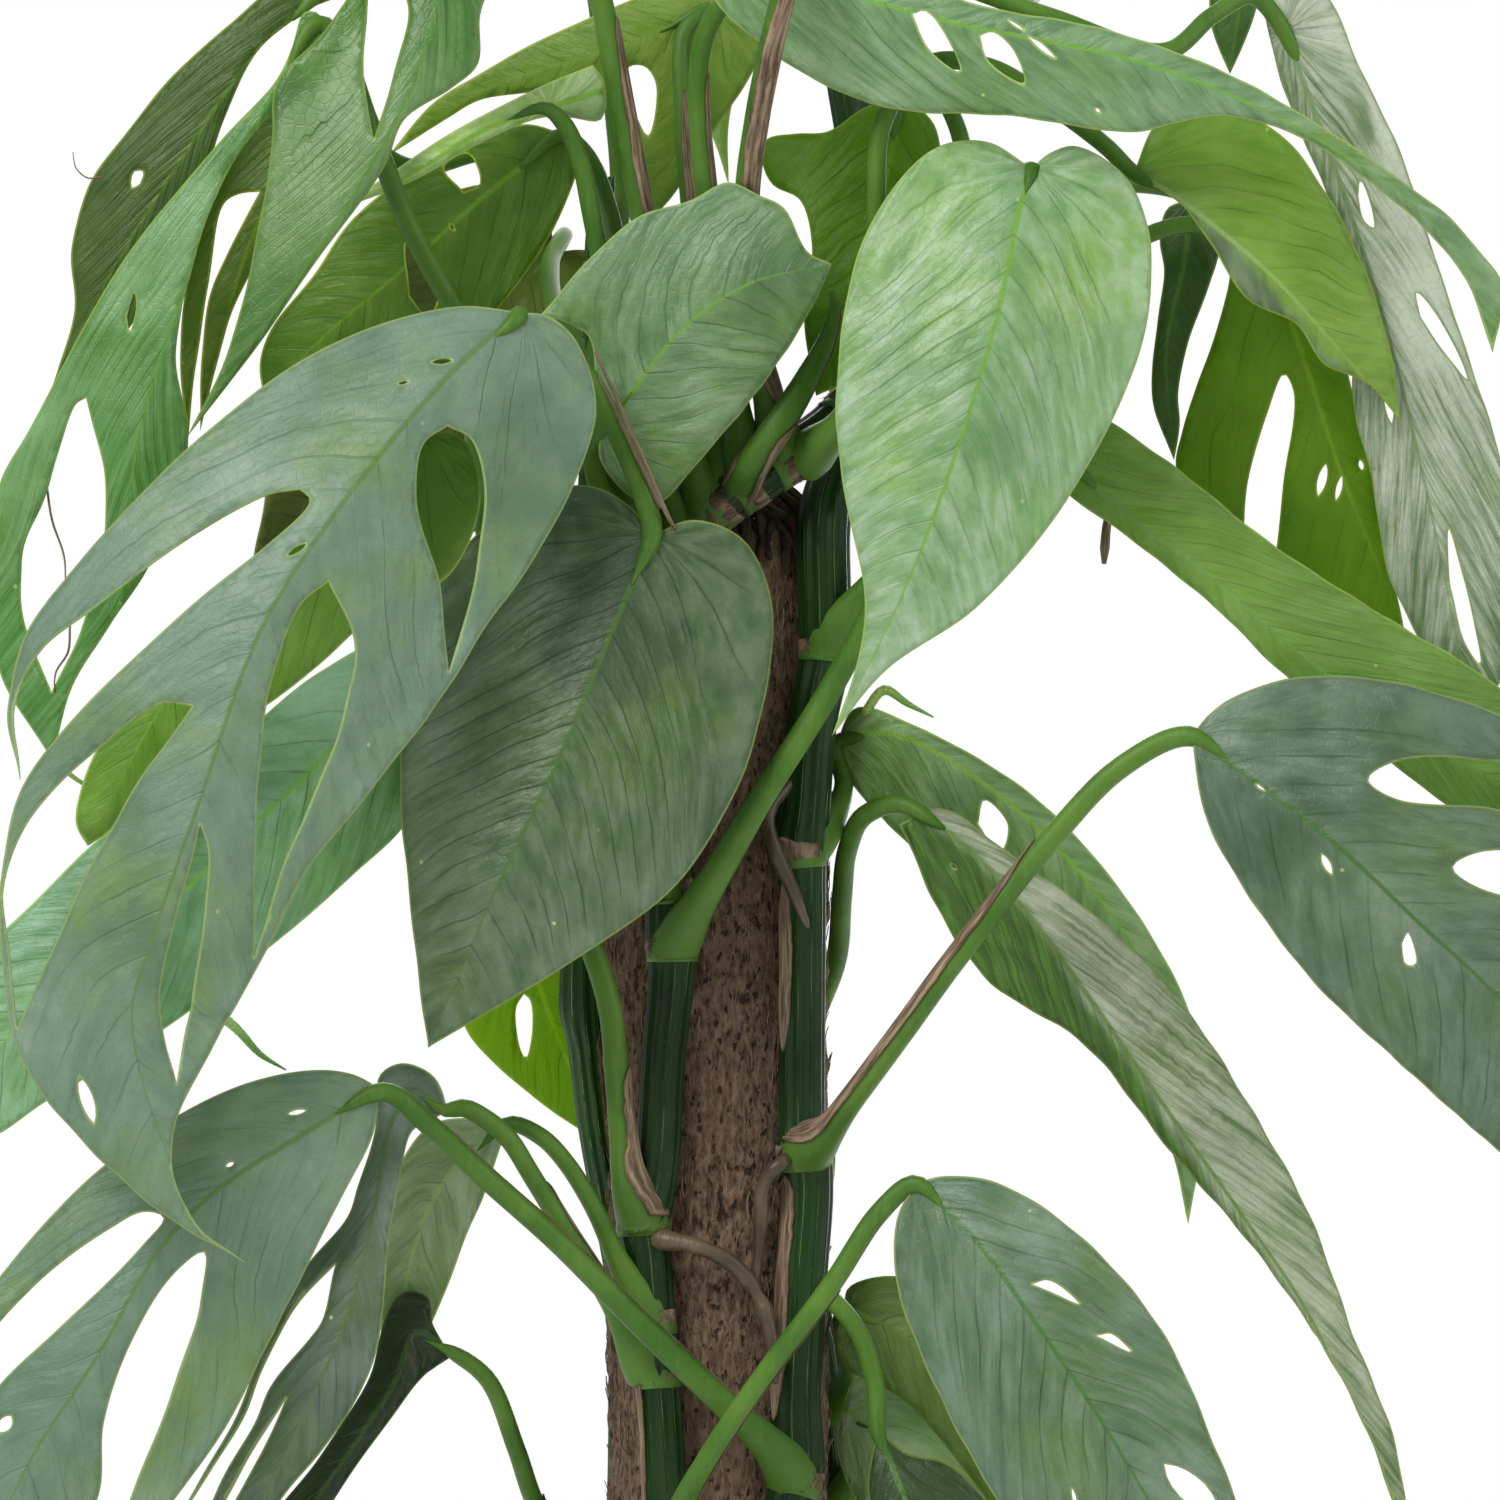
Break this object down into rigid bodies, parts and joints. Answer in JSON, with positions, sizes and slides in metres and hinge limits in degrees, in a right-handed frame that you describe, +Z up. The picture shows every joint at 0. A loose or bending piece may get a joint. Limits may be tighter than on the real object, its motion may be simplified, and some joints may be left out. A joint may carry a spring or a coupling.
{
  "type": "potted climbing aroid plant",
  "caption": "Potted cebu blue pothos: blue-green heart-shaped and split leaves on long stalks, climbing vines on a brown fibre pole, in a plain round pot.",
  "frame": {"origin": "centre of the pot's flat underside", "axes": "+Z up along the pole, -Y towards the viewer of the picture, +X to the viewer's right"},
  "size_m": [0.4274, 0.2512, 0.9875],
  "materials": {
    "leaf": "satin, blue-green with a silvery sheen",
    "leaf_under": "matte, yellow-green, lets light through",
    "stem": "dark green, ridged",
    "root": "brown, dry",
    "fibre": "matted brown fibre",
    "soil": "loose, matte",
    "pot": "plain, slightly worn"
  },
  "bodies": {
    "root": {"leaf_back_low": "leaf", "leaf_back_middle": "leaf", "leaf_back_top_left": "leaf", "leaf_back_top_right": "leaf", "leaf_behind_right_heart": "leaf_under", "leaf_bottom_small": "leaf", "leaf_centre_heart": "leaf", "leaf_crown_back": "leaf", "leaf_crown_front": "leaf", "leaf_crown_left": "leaf", "leaf_crown_right": "leaf", "leaf_front_split": "leaf", "leaf_left_behind": "leaf", "leaf_left_broad": "leaf", "leaf_left_olive": "leaf", "leaf_low_back": "leaf", "leaf_low_back_left": "leaf", "leaf_low_back_right": "leaf", "leaf_low_front": "leaf", "leaf_low_front_left": "leaf", "leaf_low_front_right": "leaf", "leaf_low_left": "leaf", "leaf_low_right": "leaf", "leaf_lower_left_dark": "leaf", "leaf_lower_left_pale": "leaf", "leaf_lower_left_split": "leaf", "leaf_lower_left_twisted": "leaf", "leaf_lower_right": "leaf", "leaf_lower_right_green": "leaf_under", "leaf_lower_right_grey": "leaf_under", "leaf_pole_left_under": "leaf_under", "leaf_right_back_split": "leaf_under", "leaf_right_folded_split": "leaf", "leaf_right_hanging": "leaf_under", "leaf_right_heart": "leaf", "leaf_right_long_under": "leaf_under", "leaf_right_narrow": "leaf_under", "leaf_right_split": "leaf", "leaf_right_under": "leaf_under", "leaf_top_back": "leaf", "leaf_top_folded": "leaf", "leaf_top_heart": "leaf", "leaf_top_left_glossy": "leaf", "leaf_top_left_under": "leaf_under", "leaf_top_right_long": "leaf", "leaf_top_right_small": "leaf", "leaf_top_right_under": "leaf_under", "leaf_upper_left_split": "leaf", "leaf_upper_left_under": "leaf_under", "leaf_young_rolled": "leaf", "pole": "fibre", "pot": "pot", "root_centre": "root", "root_lower": "root", "root_upper": "root", "soil": "soil", "vine_back_left": "stem", "vine_back_right": "stem", "vine_front_left": "stem", "vine_front_right": "stem"}
  },
  "joints": []
}
